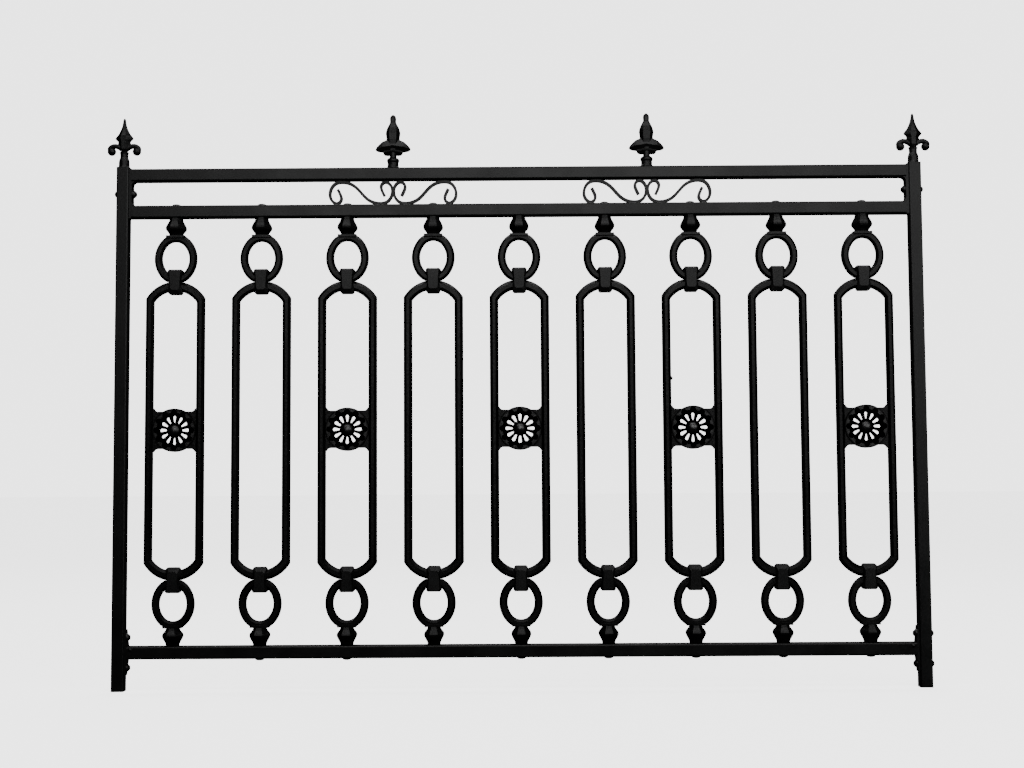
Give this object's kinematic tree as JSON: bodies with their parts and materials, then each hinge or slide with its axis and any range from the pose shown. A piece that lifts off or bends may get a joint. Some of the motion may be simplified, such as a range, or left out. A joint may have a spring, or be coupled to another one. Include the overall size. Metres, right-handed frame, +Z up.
{
  "type": "ornamental iron fence panel",
  "caption": "Black ornamental iron fence panel: square posts and rails, tall rounded frames with pierced rosettes, oval rings, scroll work and cast finials.",
  "frame": {"origin": "centre of the left post's foot face, on the ground", "axes": "+X along the panel to the right post, +Y to the back, +Z up; the pictured front looks toward -Y"},
  "size_m": [2.0708, 0.049, 1.4338],
  "materials": {
    "tube_paint": "satin black paint on square steel tube",
    "casting_paint": "satin black paint over a fine cast surface",
    "collar_paint": "satin black paint, a little lighter on the flat front",
    "scroll_paint": "satin black paint on bent flat bar",
    "bracket_paint": "satin black paint on steel plate",
    "finial_paint": "semi-gloss black paint on modelled castings"
  },
  "bodies": {
    "root": {"left_post": "tube_paint", "right_post": "tube_paint", "top_rail": "tube_paint", "upper_rail": "tube_paint", "bottom_rail": "tube_paint", "rosette_frame_1": "casting_paint", "upper_ring_1": "casting_paint", "lower_ring_1": "casting_paint", "plain_frame_2": "casting_paint", "upper_ring_2": "casting_paint", "lower_ring_2": "casting_paint", "rosette_frame_3": "casting_paint", "upper_ring_3": "casting_paint", "lower_ring_3": "casting_paint", "plain_frame_4": "casting_paint", "upper_ring_4": "casting_paint", "lower_ring_4": "casting_paint", "rosette_frame_5": "casting_paint", "upper_ring_5": "casting_paint", "lower_ring_5": "casting_paint", "plain_frame_6": "casting_paint", "upper_ring_6": "casting_paint", "lower_ring_6": "casting_paint", "rosette_frame_7": "casting_paint", "upper_ring_7": "casting_paint", "lower_ring_7": "casting_paint", "plain_frame_8": "casting_paint", "upper_ring_8": "casting_paint", "lower_ring_8": "casting_paint", "rosette_frame_9": "casting_paint", "upper_ring_9": "casting_paint", "lower_ring_9": "casting_paint", "upper_collars": "collar_paint", "lower_collars": "collar_paint", "left_scroll_pair": "scroll_paint", "right_scroll_pair": "scroll_paint", "left_lower_bracket": "bracket_paint", "right_lower_bracket": "bracket_paint", "left_upper_bracket": "bracket_paint", "right_upper_bracket": "bracket_paint", "left_post_finial": "finial_paint", "right_post_finial": "finial_paint", "left_rail_finial": "finial_paint", "right_rail_finial": "finial_paint"}
  },
  "joints": []
}
